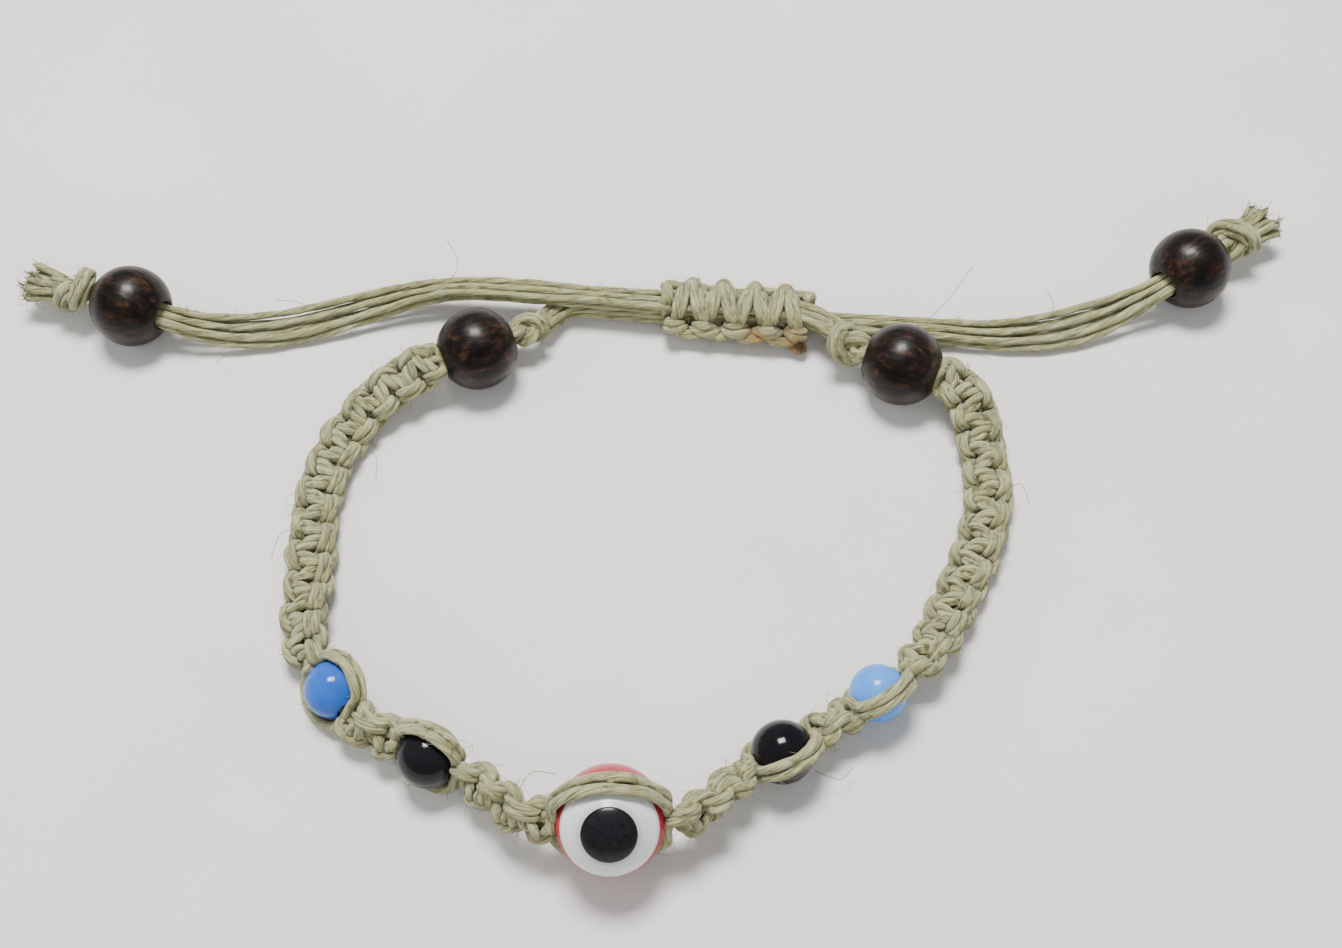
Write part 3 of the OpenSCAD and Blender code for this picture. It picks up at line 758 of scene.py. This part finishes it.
# ---- beads
def bead_mesh(name, centre, heading, radius, bore, lip, mat, dent, segments=72):
    """A bored bead turned about its bore, with rounded edges at both ends."""
    edge = math.asin((bore + lip) / radius)
    arc = [(radius * math.cos(a), radius * math.sin(a)) for a in np.linspace(edge, math.pi - edge, 49)]
    x0, r0 = arc[0]
    lead = [(x0 - lip * 0.95 * (1 - math.cos(a)) - 0.02, bore + (r0 - bore) * (1 - math.sin(a)))
            for a in np.linspace(0.25, math.pi / 2, 5)]
    wall = [(x, bore) for x in np.linspace(lead[-1][0] - 0.2, -lead[-1][0] + 0.2, 9)]
    profile = np.array(arc + [(-x, r) for x, r in lead] + wall[::-1] + lead[::-1])
    angle = np.arange(segments) * 2 * math.pi / segments
    x = np.repeat(profile[:, 0][:, None], segments, 1)
    r = np.repeat(profile[:, 1][:, None], segments, 1)
    phase = rng.uniform(0, 6.28, 4)
    dents = (np.cos(2 * angle + phase[0] + 0.4 * x) + np.cos(3 * angle + phase[1] - 0.5 * x)
             + 0.6 * np.cos(5 * angle + phase[2] + 1.1 * x))
    r = r * (1 + dent * dents * (r > bore * 1.05))
    local = np.stack([x, r * np.cos(angle), r * np.sin(angle)], 2).reshape(-1, 3)
    c, s_ = math.cos(math.radians(heading)), math.sin(math.radians(heading))
    turned = np.stack([local[:, 0] * c - local[:, 1] * s_, local[:, 0] * s_ + local[:, 1] * c, local[:, 2]], 1)
    faces = ring_quads(len(profile), segments, True).tolist()
    return new_object(name, turned + centre, faces, mat, grain=local + rng.uniform(-50, 50, 3))


WOOD_BORE = (2 * math.hypot(STEP, STEP / 2) + STRAND_D) / 2 + 0.15
GLASS_BORE = (STEP + STRAND_D) / 2 + 0.15
WOOD_BEAD = (WOOD_D / 2, WOOD_BORE, 0.34, WOOD, 0.0035), "dark_wood"
BLACK_BEAD = (BLACK_R, GLASS_BORE, 0.18, BLACK_GLASS, 0.001), "black_glass"
BLUE_BEADS = [((BLUE_R, GLASS_BORE, 0.18, mat, 0.001), slot) for mat, slot in (
    (BLUE_LEFT, "blue_glass_left"), (BLUE_RIGHT, "blue_glass_right"))]
for name, place, (make, slot_name) in (
        ("inner_wood_bead_left", INNER_LEFT, WOOD_BEAD), ("inner_wood_bead_right", INNER_RIGHT, WOOD_BEAD),
        ("end_wood_bead_left", (LEFT_END, LEFT_END_HEADING), WOOD_BEAD),
        ("end_wood_bead_right", (RIGHT_END, RIGHT_END_HEADING), WOOD_BEAD),
        ("black_bead_left", BLACK_LEFT_AT, BLACK_BEAD), ("black_bead_right", BLACK_RIGHT_AT, BLACK_BEAD),
        ("blue_bead_left", BLUE_LEFT_AT, BLUE_BEADS[0]), ("blue_bead_right", BLUE_RIGHT_AT, BLUE_BEADS[1])):
    belongs(bead_mesh(name + "_turned", *place[:2], *make), name, slot_name, name)

# The eye bead: a red body, a white ring and a domed pupil, which look up and to the front.
EYE_TILT, RING_ANGLE, PUPIL_ANGLE = 54, 61.5, 30.5
LOOK_X = flat(EYE_AT[1])
LOOK = (np.array([LOOK_X[1], -LOOK_X[0], 0]) * math.cos(math.radians(EYE_TILT))
        + np.array([0, 0, math.sin(math.radians(EYE_TILT))]))
LOOK_Y = np.cross(LOOK, LOOK_X)


def eye_shell(name, inner_deg, outer_deg, height, depth, mat, segments=96):
    """A closed cap or ring on the eye bead; height(a) is how far it stands over the ball at the angle a."""
    a = np.radians(np.linspace(inner_deg, outer_deg, 25))
    top = [(x, EYE_R + height(math.degrees(x))) for x in a]
    bottom = [(x, EYE_R - depth) for x in a[::-1]]
    profile = np.array(top + bottom)
    if inner_deg == 0:
        profile = profile[1:-1]
    n = len(profile)
    turn = np.arange(segments) * 2 * math.pi / segments
    verts, polar = [], []
    for x, r in profile:
        for t in turn:
            side = LOOK_X * math.cos(t) + LOOK_Y * math.sin(t)
            verts.append(EYE_AT[0] + r * (LOOK * math.cos(x) + math.sin(x) * side))
            polar.append((math.degrees(x), 12 * math.cos(t), 12 * math.sin(t)))
    faces = ring_quads(n, segments, inner_deg > 0).tolist()
    if inner_deg == 0:
        for row, level in ((0, EYE_R + height(0)), (n - 1, EYE_R - depth)):
            verts.append(EYE_AT[0] + LOOK * level)
            polar.append((0, 12, 0))
            tip = len(verts) - 1
            for j in range(segments):
                j2 = (j + 1) % segments
                face = (tip, row * segments + j, row * segments + j2)
                faces.append(face if row == 0 else face[::-1])
    return new_object(name, verts, faces, mat, grain=np.array(polar))


def rim(a, edge, top, soft=2.5):
    """Height at the angle a of a layer whose rounded rim is at the angle edge."""
    near = (edge - a) / soft
    return top * math.sqrt(max(0.0, 1 - (1 - min(1.0, max(0.0, near))) ** 2)) + 0.005


LAYER_DEPTH = 0.5
eye_body = bead_mesh("eye_bead_red_body", EYE_AT[0], EYE_AT[1], EYE_R, GLASS_BORE, 0.22, EYE_RED, 0.0004, 96)
ring_piece = eye_shell("eye_bead_white_ring", PUPIL_ANGLE - 2, RING_ANGLE, lambda a: rim(a, RING_ANGLE, 0.05),
                       LAYER_DEPTH, WHITE)
pupil_piece = eye_shell("eye_bead_black_pupil", 0, PUPIL_ANGLE,
                        lambda a: rim(a, PUPIL_ANGLE, 0.10, 5) + 0.05 * math.cos(math.radians(2.6 * a)),
                        LAYER_DEPTH, BLACK_RESIN)
belongs(eye_body, "eye_bead", "eye_red", "eye_bead_body")
belongs(ring_piece, "eye_bead", "eye_white", "eye_white_ring")
belongs(pupil_piece, "eye_bead", "eye_black", "eye_pupil")


# ---- overhand knots
def tight_overhand(steps=500, count=96):
    """The middle line of an overhand knot pulled tight, for a rope of diameter 1; it enters and leaves along X."""
    phi = np.linspace(0.14, 2 * math.pi - 0.14, 70)
    out = 2 + np.cos(3 * phi)
    loop = np.stack([out * np.cos(2 * phi), out * np.sin(2 * phi), np.sin(3 * phi)], 1)
    legs = np.array([(3.4, 8, 0), (3.6, 4.5, 0), (3.8, 2.2, 0)], float)
    rope = np.vstack([legs, loop, legs[::-1] * [1, -1, 1]])
    for _ in range(steps):
        skip = max(2, int(1.25 * (count - 1) / along(rope)[-1]))
        rope = at_shares(rope, np.linspace(0, 1, count))
        move = np.zeros_like(rope)
        move[1:-1] = 0.55 * ((rope[:-2] + rope[2:]) / 2 - rope[1:-1])
        diff = rope[:, None, :] - rope[None, :, :]
        gap = np.sqrt((diff ** 2).sum(-1)) + 1e-9
        over = np.clip(1.0 - gap, 0, None)
        index = np.arange(count)
        over[abs(index[:, None] - index[None, :]) <= skip] = 0
        rope = rope + move + 0.35 * pushed(diff, gap, over)
        rope[[0, -1]] *= [0.98, 1, 0]  # the ends are drawn onto the line of the pull
    rope = smoothed(rope, 3)
    rope = rope[:, [1, 0, 2]] * [-1, 1, 1]
    near = abs(rope[:, 0] - rope[len(rope) // 2, 0]) < 2.2
    return rope - rope[near].mean(0)


OVERHAND = tight_overhand()


def axes(direction, roll=0.0):
    """X along the direction, with Z as near up as it can be, then rolled."""
    x = unit(direction)
    y = unit(np.cross((0, 0, 1.0), x))
    z = np.cross(x, y)
    c, s_ = math.cos(math.radians(roll)), math.sin(math.radians(roll))
    return np.array([x, y * c + z * s_, z * c - y * s_])


TIED = 6  # strands tied together: one in the middle and the others round it


def overhand_knot(tubes, centre, entry, leave, size, roll, strand_r, squash=0.85):
    """Six strands tied in one overhand knot about centre, from the points in entry to the points in leave."""
    body = OVERHAND * size * [squash, 1, 1]
    inner = body[abs(OVERHAND[:, 0]) < 1.5] @ axes(leave[0] - entry[-1], roll) + centre
    path = np.vstack([entry, inner, leave])
    path = evenly(smoothed(evenly(path, POINT_GAP), 6), POINT_GAP)
    a, b = frames(path)
    s = along(path)
    ends = np.minimum(s, s[-1] - s)
    ring = 0.34 * size
    tight = 0.62 / ring + (1 - 0.62 / ring) * np.clip(ends / 2.5, 0, 1)
    for k in range(TIED):
        swing = k * 2 * math.pi / (TIED - 1) + 0.25 * s / size
        reach = 0.0 if k == TIED - 1 else ring
        offset = (a * np.cos(swing)[:, None] + b * np.sin(swing)[:, None]) * (reach * tight)[:, None]
        p = path + offset + wobble(len(path), 1.5, 0.05)
        p[:, 2] = np.maximum(p[:, 2], strand_r + 0.09)
        thin = 0.86 + 0.14 * np.clip(ends / 2.2, 0, 1)
        tubes.add(p, uneven(strand_r * thin, len(p), 1.2, 0.06), ridge=0.1)


def bore_points(place_at, heading, sign, deep=2.2):
    """Points from inside a wooden bead's bore out to its face, on the side that sign says."""
    return np.array([place_at + flat(heading) * sign * x for x in (WOOD_LEN / 2 - deep, WOOD_LEN / 2 - 0.3)])


left_tail_start = RIGHT_KNOT + [-1.4, 1.6, 0.05]
right_tail_start = LEFT_KNOT + [1.2, 1.6, -0.9]
for which, centre, bead_at, sign, start, roll, size in (
        ("left", LEFT_KNOT, INNER_LEFT, -1, right_tail_start, 40, 1.12),
        ("right", RIGHT_KNOT, INNER_RIGHT, 1, left_tail_start, -30, 1.40)):
    tubes = Tubes()
    away = unit(start - centre)
    overhand_knot(tubes, centre, bore_points(*bead_at[:2], sign),
                  np.array([start + away * 0.1, start + away * 0.8]), size, roll, 0.32 * size)
    tubes.fuzz(90)
    belongs(tubes.piece(f"inner_knot_{which}_tied", HEMP), which + "_band", "hemp", "inner_knot_" + which)


TUFT_LEN, TUFT_ENDS, END_FIBRES = 3.8, 9, 24


def tuft(tubes, start, direction):
    """Cut strand ends that fan out past a knot, each breaking up into fibres."""
    basis = axes(direction)
    for k in range(TUFT_ENDS):
        spread = 2 * k / (TUFT_ENDS - 1) - 1
        aim_at = unit(basis[0] + basis[1] * spread * 0.20 + basis[2] * rng.uniform(-0.14, 0.14))
        base = start + basis[1] * spread * 1.25 + basis[2] * (0.40 if k % 2 else -0.40)
        reach = TUFT_LEN * rng.uniform(0.90, 1.04)
        s = np.linspace(0, 1, 16)
        side = basis[1] * rng.uniform(-0.25, 0.25) + basis[2] * rng.uniform(-0.1, 0.2)
        p = base + aim_at * (s * reach)[:, None] + side * (np.sin(s * 2.5) * 0.4)[:, None]
        p[:, 2] = np.maximum(p[:, 2], 0.52)
        r = np.interp(s, [0, 0.5, 0.85, 1.0], [0.36, 0.40, 0.44, 0.40])
        tubes.add(p, r, ridge=0.16, round_ends=False)
        for _ in range(END_FIBRES):
            root = p[rng.integers(10, 15)] + unit(rng.normal(0, 1, 3)) * 0.27
            out = unit(aim_at + rng.normal(0, 0.28, 3))
            far = reach * rng.uniform(0.10, 0.32)
            tubes.hair([root, root + out * far * 0.5 + rng.normal(0, 0.04, 3), root + out * far], 0.05)


for which, bead_at, heading, roll in (("left", LEFT_END, LEFT_END_HEADING, 200),
                                      ("right", RIGHT_END, RIGHT_END_HEADING, 70)):
    tubes = Tubes()
    centre = bead_at + flat(heading) * (WOOD_LEN / 2 + FACE_GAP + 2.2) - [0, 0, 0.3]
    d = flat(heading) - [0, 0, 0.10]
    overhand_knot(tubes, centre, bore_points(bead_at, heading, 1), np.array([centre + d * 2.7, centre + d * 3.3]),
                  1.72, roll, 0.43, 0.76)
    tuft(tubes, centre + d * 2.0, d)
    tubes.fuzz(260)
    belongs(tubes.piece(f"end_knot_{which}_tied", HEMP), which + "_tail", "hemp", "end_knot_" + which)

# ---- the two tails, six free strands each
SLOTS = [(c * STEP, r * STEP) for r in (0.5, -0.5) for c in (-1, 0, 1)]
MID_X = (STRAIGHT_LEFT_X + STRAIGHT_RIGHT_X) / 2
END_REACH = WOOD_LEN / 2 + FACE_GAP / 2


def tail_points(near, far, z, first, route, from_x, end_at, end_heading):
    """The CAD route of a tail: place and how far apart its strands lie."""
    sign = 1 if far > near else -1
    points = [(*p, 1) for p in first]
    points += [(near + 2 * sign * k, CLOSURE_Y, z, 1) for k in (0, 1)] + [(MID_X, CLOSURE_Y, z, 1)]
    points += [(far - 2 * sign * k, CLOSURE_Y, z, 1) for k in (1, 0)]
    points += [(from_x + x, CLOSURE_Y + y, height, apart) for x, y, height, apart in route]
    points += [(*(end_at + flat(end_heading) * x), 1) for x in (-END_REACH, 0, END_REACH)]
    return np.array(points)


LEFT_ROUTE = [(-8, 0, 3.4, 1), (-12, -0.6, 2.9, 1.1), (-16, -1.6, 2.1, 1.35), (-20, -3, 1.5, 1.6),
              (-24, -4.4, 1.15, 1.8), (-28, -5.6, 1.1, 1.8), (-32, -6.5, 1.6, 1.55), (-35.6, -7, 2.7, 1.25)]
RIGHT_ROUTE = [(6, 0, 1.65, 1), (11, 0.2, 1.4, 1.15), (16, 0.5, 1.15, 1.5), (21, 1.5, 1.1, 1.8),
               (25.5, 3, 1.4, 1.8), (29.5, 4.7, 2.4, 1.4)]
LEFT_TAIL = tail_points(STRAIGHT_RIGHT_X, STRAIGHT_LEFT_X, HIGH_Z,
                        [left_tail_start, RIGHT_KNOT + [-2.1, 2.7, 0.02],
                         (STRAIGHT_RIGHT_X + 0.9, CLOSURE_Y - 0.2, HIGH_Z)],
                        LEFT_ROUTE, LEFT_KNOT[0], LEFT_END, LEFT_END_HEADING)
RIGHT_TAIL = tail_points(STRAIGHT_LEFT_X, STRAIGHT_RIGHT_X, LOW_Z,
                         [right_tail_start, (LEFT_KNOT[0] + 1.9, LEFT_KNOT[1] + 2.8, LOW_Z + 0.1),
                          (STRAIGHT_LEFT_X - 0.8, CLOSURE_Y - 0.3, LOW_Z)],
                         RIGHT_ROUTE, RIGHT_KNOT[0], RIGHT_END, RIGHT_END_HEADING)

TAIL_GAP = 0.4  # between the points of a tail's strand
for tail, which, rounds in ((LEFT_TAIL, "left", 90), (RIGHT_TAIL, "right", 24)):
    path = evenly(smoothed(evenly(catmull(tail, 12), TAIL_GAP), rounds), TAIL_GAP)
    d = unit(np.gradient(path[:, :3], axis=0))
    side = unit(np.stack([d[:, 1], -d[:, 0], 0 * d[:, 0]], 1))
    side = side * np.where(side[:, 1:2] > 0, -1, 1)
    up = np.cross(side, d)
    up = up * np.sign(up[:, 2:3])
    for number, (column, row) in enumerate(SLOTS, 1):
        across = column * path[:, 3] + (0.6 * (path[:, 3] - 1) if row < 0 else 0)
        p = path[:, :3] + side * across[:, None] + up * row
        s = along(p)
        ends = np.clip(np.minimum(s, s[-1] - s) / 4, 0, 1)[:, None]
        p = p + wobble(len(p), 6, 0.05, spacing=TAIL_GAP) * ends
        p[:, 2] = np.maximum(p[:, 2], STRAND_R + 0.07)
        tubes = Tubes()
        tubes.add(p, uneven(STRAND_R, len(p), 2.5, 0.05, TAIL_GAP), sides=14, ridge=0.09)
        tubes.fuzz(70, (0.4, 1.2))
        name = f"{which}_tail_strand_{number}"
        piece = tubes.piece(name + "_cord", HEMP)
        belongs(piece, which + "_tail", "hemp", name)

# ---- the sliding knot
SLIDER_TURNS = 9
SLIDER_PITCH = SLIDER_LEN / SLIDER_TURNS
bundle = [(c * STEP, z - SLIDER_Z + r * STEP) for z in (LOW_Z, HIGH_Z) for r in (0.5, -0.5) for c in (-1, 0, 1)]
WRAP = centred(tight_half_knot(SLIDER_PITCH, bundle, 0.95, 2.4, 0.7, 2.5, SWELL), SLIDER_PITCH)
SLIDER_R, SLIDER_TILT = 0.50, math.radians(16)
LUMPS = (0.3, 1.0, 1.6, 1.1, 1.1, 0.8, 0.6, 1.5, 0.3)  # how far the upper edge's bumps stand out along the knot
# the scorched places and how far each reaches
SINGED = [((SLIDER_X + 6.6, CLOSURE_Y - 3.0, 1.4), 2.6), ((SLIDER_X + 2.4, CLOSURE_Y - 2.8, 2.2), 1.6),
          ((SLIDER_X + 0.2, CLOSURE_Y - 2.7, 2.0), 0.8), ((SLIDER_X + 5.0, CLOSURE_Y + 2.6, 3.8), 1.1)]


def slider_burn(points):
    value = np.zeros(len(points))
    for centre, size in SINGED:
        far = np.linalg.norm(points - centre, axis=1) / size
        value = np.maximum(value, np.clip(1.25 - far, 0, 1) ** 1.2)
    return np.clip(value, 0, 0.9)


halves = {1: [], -1: []}  # cord A's two strands and cord B's
for turn in (1, -1):
    for i in (0, 1):
        pts = []
        for k in range(SLIDER_TURNS):
            grow = 1 + rng.normal(0, 0.04)
            for t, u, v in strand_of(WRAP, i, k % 2 == 1, turn)[(CELL_START if k == 0 else 0):]:
                pts.append((min(max(k * SLIDER_PITCH + t, 0.0), SLIDER_LEN), u * grow, v * grow))
        halves[turn].append(pts)

# where along each turn the upper edge stands out most
edge = np.array([q for strands in halves.values() for pts in strands for q in pts])
edge = edge[edge[:, 1] > 0.92 * edge[:, 1].max()]
LUMP_AT = np.angle(np.exp(1j * edge[:, 0] * math.pi / SLIDER_PITCH).mean()) * SLIDER_PITCH / math.pi


def slider_place(points):
    """Length, side and height of the sliding knot's own frame, turned a little towards the front."""
    p = np.array(points, float)
    phase = (p[:, 0] - LUMP_AT) * math.pi / SLIDER_PITCH + math.pi
    p[:, 0] -= 0.34 * np.sin(phase) * np.clip(p[:, 1] / 2.2, -1, 1)
    lump = np.interp(p[:, 0], np.linspace(0, SLIDER_LEN, len(LUMPS)), LUMPS)
    p[:, 1] += 0.27 * lump * (np.cos(phase) - 0.20) * np.clip(p[:, 1] / 1.8, 0, 1)
    p[:, 2] += 0.28 * lump * np.cos(phase) * np.clip(p[:, 1] / 1.8, 0, 1) * np.clip(p[:, 2], 0, 1)
    y = p[:, 1] * math.cos(SLIDER_TILT) - p[:, 2] * math.sin(SLIDER_TILT) * 0.35
    z = p[:, 2] + p[:, 1] * math.sin(SLIDER_TILT) * 0.35
    return np.stack([SLIDER_X - SLIDER_LEN / 2 + p[:, 0], CLOSURE_Y + y, SLIDER_Z + z], 1)


tubes = Tubes()
for i in (0, 1):
    a, b = halves[1][i], halves[-1][i]
    sx = 0.45 - 0.60 * i
    arc = [(sx, a[0][1], a[0][2] - 0.6), (sx, -1.75, -1.7), (sx, -0.9, -2.3), (sx, 0.9, -2.3), (sx, 1.75, -1.7),
           (sx, 2.2, -0.2)]
    # after an odd number of half knots the strands of cord A are at +u, those of B at -u
    x = SLIDER_LEN
    tail_a = [(x - 0.2, 1.9, -0.6), (x - 0.35 - 0.5 * i, 1.4, -1.7), (x - 0.5 - 0.6 * i, 0.2, -2.1)]
    tail_b = [(x - 0.3 - 0.6 * i, -2.4, -0.5), (x - 0.5 - 0.9 * i, -2.9, -0.8 - 0.2 * i),
              (x - 0.1 - 0.9 * i, -3.5 + 0.2 * i, -1.3)]
    whole = tail_a[::-1] + a[::-1] + arc + b + tail_b
    p = smoothed(evenly(slider_place(whole), POINT_GAP), 6)
    p = p + wobble(len(p), 1.6, 0.04)
    p[:, 2] = np.maximum(p[:, 2], SLIDER_R + 0.10)
    r = uneven(SLIDER_R, len(p), 1.2, 0.06)
    r[-9:] *= np.linspace(1.0, 1.55, 9)  # the melted tip is swollen
    tubes.add(p, r, ridge=0.1, burn=slider_burn)
tubes.fuzz(260)
belongs(tubes.piece("sliding_knot_wraps", HEMP), "sliding_knot", "hemp", "sliding_knot", "sliding_knot_cord_ends")


# ---- a few long loose fibres
LONG_FIBRE_R = 0.035
for body, hairs in (
        ("left_tail", [((-25, 31.4, 3.6), (-23.5, 33.4, 5.5), (-24.8, 35.4, 7.2)),
                       ((-38, 26.8, 1.6), (-40, 29.0, 2.6), (-43, 29.6, 2.0)),
                       ((-47, 25.2, 2.4), (-46, 23.0, 2.6), (-48, 21.4, 1.4))]),
        ("right_tail", [((26, 32.2, 1.8), (28.6, 34.6, 3.9), (31.0, 38.2, 5.2)),
                        ((38, 33.0, 1.6), (40, 35.4, 2.6), (39.2, 37.6, 3.0))]),
        ("right_band", [((18.6, 27.2, 5.6), (16.0, 29.0, 7.4), (15.2, 26.2, 8.2)),
                        ((34.2, 12, 2.5), (36.2, 13.2, 3.0), (37.2, 11.4, 2.2))]),
        ("left_band", [((-34.6, 2, 2.6), (-36.6, 1.0, 3.2), (-37.2, -1.4, 2.4)),
                       ((-30.6, 12, 2.6), (-28.8, 10.8, 2.9), (-28.6, 8.6, 2.0))]),
        ("front_band", [((17.2, -18.4, 1.6), (19.4, -19.2, 2.0), (20.6, -17.8, 1.4)),
                        ((-9.6, -24.6, 5.4), (-8.6, -22.6, 6.2), (-6.4, -22.2, 5.4))])):
    tubes = Tubes()
    for hair in hairs:
        tubes.add(catmull(hair, 10), LONG_FIBRE_R, sides=5, ridge=0, round_ends=False)
    belongs(tubes.piece(body + "_long_fibres", HEMP, False), body, "hemp")
